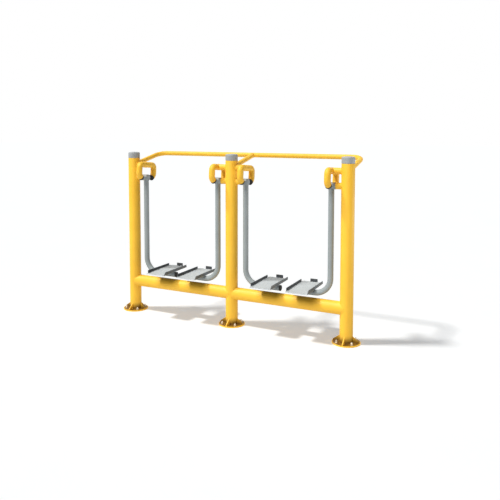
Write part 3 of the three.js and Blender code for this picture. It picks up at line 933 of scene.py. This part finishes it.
def make_foot_plate(name, centre_x):
    """The plate, its lips, near black on their inner faces, and the strip that seats it; the
    plate's underside and the lips' outer faces and rims take a darker sheet, painted shade.
    """
    bm = bmesh.new()
    dark_inner, sheet = 1, 2
    left, right = centre_x - PLATE_WIDTH / 2, centre_x + PLATE_WIDTH / 2
    back, front = PLATE_BACK, PLATE_BACK - PLATE_LENGTH
    outline = (
        corner(right - PLATE_LIP_CORNER, back - PLATE_LIP_CORNER, PLATE_LIP_CORNER, 0)
        + corner(left + PLATE_ROUND_CORNER, back - PLATE_ROUND_CORNER, PLATE_ROUND_CORNER, 1)
        + corner(left + PLATE_CORNER, front + PLATE_CORNER, PLATE_CORNER, 2)
        + corner(right - PLATE_CORNER, front + PLATE_CORNER, PLATE_CORNER, 3)
    )
    # The underside takes the darker sheet: painted shade under the plate
    prism(bm, outline, PLATE_Z, PLATE_Z + PLATE_T, PLATE_CHAMFER, low_material=sheet)
    lip_z = PLATE_Z + PLATE_T / 2
    along_y = Matrix(((0, 0, 1, 0), (1, 0, 0, 0), (0, 1, 0, 0), (0, 0, 0, 1)))
    along_x = Matrix(((1, 0, 0, 0), (0, 0, -1, 0), (0, 1, 0, 0), (0, 0, 0, 1)))

    def add_lip(shape, x, y, direction, low_face, high_face):
        prism(
            bm,
            shape,
            0.0,
            LIP_T,
            PLATE_CHAMFER,
            Matrix.Translation((x, y, lip_z)) @ direction,
            rim_material=sheet,
            low_material=low_face,
            high_material=high_face,
        )

    left_length = PLATE_LENGTH - LEFT_LIP_INSET - PLATE_ROUND_CORNER
    left_shape = lip_outline(left_length, LIP_FRONT_HEIGHT, LIP_BACK_HEIGHT)
    add_lip(left_shape, left, front + LEFT_LIP_INSET, along_y, sheet, dark_inner)
    right_length = PLATE_LENGTH - RIGHT_LIP_INSET - PLATE_LIP_CORNER
    right_shape = lip_outline(right_length, LIP_FRONT_HEIGHT, LIP_BACK_HEIGHT, RIGHT_LIP_RAMP)
    add_lip(right_shape, right - LIP_T, front + RIGHT_LIP_INSET, along_y, dark_inner, sheet)
    toe_shape = lip_outline(TOE_END - TOE_START, TOE_HEIGHT, TOE_HEIGHT)
    add_lip(toe_shape, left + TOE_START, back, along_x, sheet, dark_inner)
    half_x, half_y = STRIP_LENGTH / 2, STRIP_WIDTH / 2
    corner_signs = ((-1, -1), (1, -1), (1, 1), (-1, 1))
    strip = [Vector((centre_x + sx * half_x, sy * half_y)) for sx, sy in corner_signs]
    prism(bm, strip, STRIP_Z, lip_z, STRIP_CHAMFER)
    body, node = f"{name}_arm_body", f"{name}_foot_plate"
    piece(f"{name}_tread_plate", bm, body, node, "tread_plate", DARK_INNER_FACES, SHADED_SHEET)


for pivot_name, post_x, side in PIVOTS:
    bracket_corners = stop_corners(post_x + side * PIVOT_OFFSET)
    make_stop_bracket(pivot_name, post_x, side)
    make_buffer(pivot_name, "front", bracket_corners)
    make_buffer(pivot_name, "back", bracket_corners[::-1])
    make_pivot_stub(pivot_name, post_x, side)
    make_arm(pivot_name, post_x, side)
    make_plug(pivot_name, post_x, side)
    make_foot_plate(pivot_name, post_x + side * (PLATE_NEAR + PLATE_FAR) / 2)

# The axles and bushes stay CAD pieces, and take the finish of their slot
for entry in frame["record"]["subparts"]:
    node = frame["nodes"][entry["node"]]
    if not node.hide_render:
        for node_slot in node.material_slots:
            node_slot.material = SLOT_MATERIALS[entry["material_slot"]]


# Floor, light and camera
def make_floor():
    """A pale floor that glows as evenly as soft light from all round would leave it."""
    bm = bmesh.new()
    bmesh.ops.create_grid(bm, x_segments=8, y_segments=8, size=60)
    mesh = bpy.data.meshes.new("studio_floor")
    bm.to_mesh(mesh)
    bm.free()
    mat, tree, surface, place = shader("studio_floor")
    dark, light = (0.93, 0.95, 0.97), (0.95, 0.97, 0.99)
    tone = clouded(tree, place, scale=2.0, detail=3.0, low=dark, high=light)
    tree.links.new(tone, surface.inputs["Base Color"])
    surface.inputs["Roughness"].default_value = 0.9
    surface.inputs["Specular IOR Level"].default_value = 0.0
    surface.inputs["Emission Color"].default_value = (0.96, 0.985, 1.02, 1)
    surface.inputs["Emission Strength"].default_value = 0.44
    mesh.materials.append(mat)
    floor = bpy.data.objects.new("studio_floor", mesh)
    bpy.context.scene.collection.objects.link(floor)
    return floor


def place_lamp(lamp, travel, location=(0.0, 0.0, 0.0)):
    """Puts a lamp in the scene whose light travels the given way."""
    obj = bpy.data.objects.new(lamp.name, lamp)
    obj.location = location
    obj.rotation_mode = "QUATERNION"
    obj.rotation_quaternion = Vector(travel).to_track_quat("-Z", "Y")
    bpy.context.scene.collection.objects.link(obj)
    return obj


def make_sun(name, travel, energy, angle, colour):
    """A lamp at infinity; a wide angle makes it a soft box."""
    lamp = bpy.data.lights.new(name, "SUN")
    lamp.energy = energy
    lamp.angle = math.radians(angle)
    lamp.color = colour
    return place_lamp(lamp, travel)


def make_side_light():
    """A soft lamp beyond the right post that lifts the right sides of posts and tubes."""
    lamp = bpy.data.lights.new("side_light", "AREA")
    lamp.shape = "DISK"
    lamp.size = 0.8
    lamp.energy = 16.0
    return place_lamp(lamp, travel=(-1.86, -1.0, -0.3), location=(2.9, 1.0, 1.1))


def make_lamps(floor):
    """The key's direction is solved from the photograph's shadows on the floor; the other lamps
    leave the floor alone, so that the key's shadow is the only one there."""
    warm, pale = (1.0, 0.985, 0.95), (1.0, 0.99, 0.97)
    make_sun("key_light", travel=(0.475, 0.238, -1.0), energy=2.05, angle=6.0, colour=warm)
    fill = make_sun("fill_light", travel=(0.26, 0.966, -1.1), energy=2.45, angle=36.0, colour=pale)
    spared = bpy.data.collections.new("lit_by_key_alone")
    spared.objects.link(floor)
    spared.collection_objects[0].light_linking.link_state = "EXCLUDE"
    for lamp in (fill, make_side_light()):
        lamp.light_linking.receiver_collection = spared


def background(tree, strength):
    node = tree.nodes.new("ShaderNodeBackground")
    node.inputs["Color"].default_value = (1.0, 1.0, 1.0, 1)
    node.inputs["Strength"].default_value = strength
    return node.outputs[0]


def make_world():
    """White where it is seen, directly or in gloss or glass, and faint as a light."""
    world = bpy.data.worlds.new("studio")
    world.use_nodes = True
    tree = world.node_tree
    tree.nodes.clear()
    rays = tree.nodes.new("ShaderNodeLightPath").outputs
    mirrored = arithmetic(tree, "MAXIMUM", rays["Is Glossy Ray"], rays["Is Transmission Ray"])
    seen = arithmetic(tree, "MAXIMUM", rays["Is Camera Ray"], mirrored)
    mix = tree.nodes.new("ShaderNodeMixShader")
    tree.links.new(seen, mix.inputs[0])
    tree.links.new(background(tree, strength=0.03), mix.inputs[1])
    tree.links.new(background(tree, strength=1.0), mix.inputs[2])
    output = tree.nodes.new("ShaderNodeOutputWorld")
    tree.links.new(mix.outputs[0], output.inputs["Surface"])
    bpy.context.scene.world = world


def make_camera():
    """The photograph's viewpoint, solved from its edges."""
    focal_px, image_px = 589.64, 500.0
    centre_x_px, centre_y_px = 239.77, 170.16
    yaw, pitch = 0.46198, 0.06967
    data = bpy.data.cameras.new("photo_camera")
    data.sensor_width = 36.0
    data.lens = data.sensor_width * focal_px / image_px
    data.shift_x = (image_px / 2 - centre_x_px) / image_px
    data.shift_y = (centre_y_px - image_px / 2) / image_px
    data.clip_end = 200.0
    camera = bpy.data.objects.new("photo_camera", data)
    camera.location = (2.34798, -4.55661, 1.72489)
    camera.rotation_euler = (QUARTER_TURN - pitch, 0.0, yaw)
    bpy.context.scene.collection.objects.link(camera)
    bpy.context.scene.camera = camera


make_lamps(make_floor())
make_world()
make_camera()
bpy.context.scene.view_settings.view_transform = "Standard"
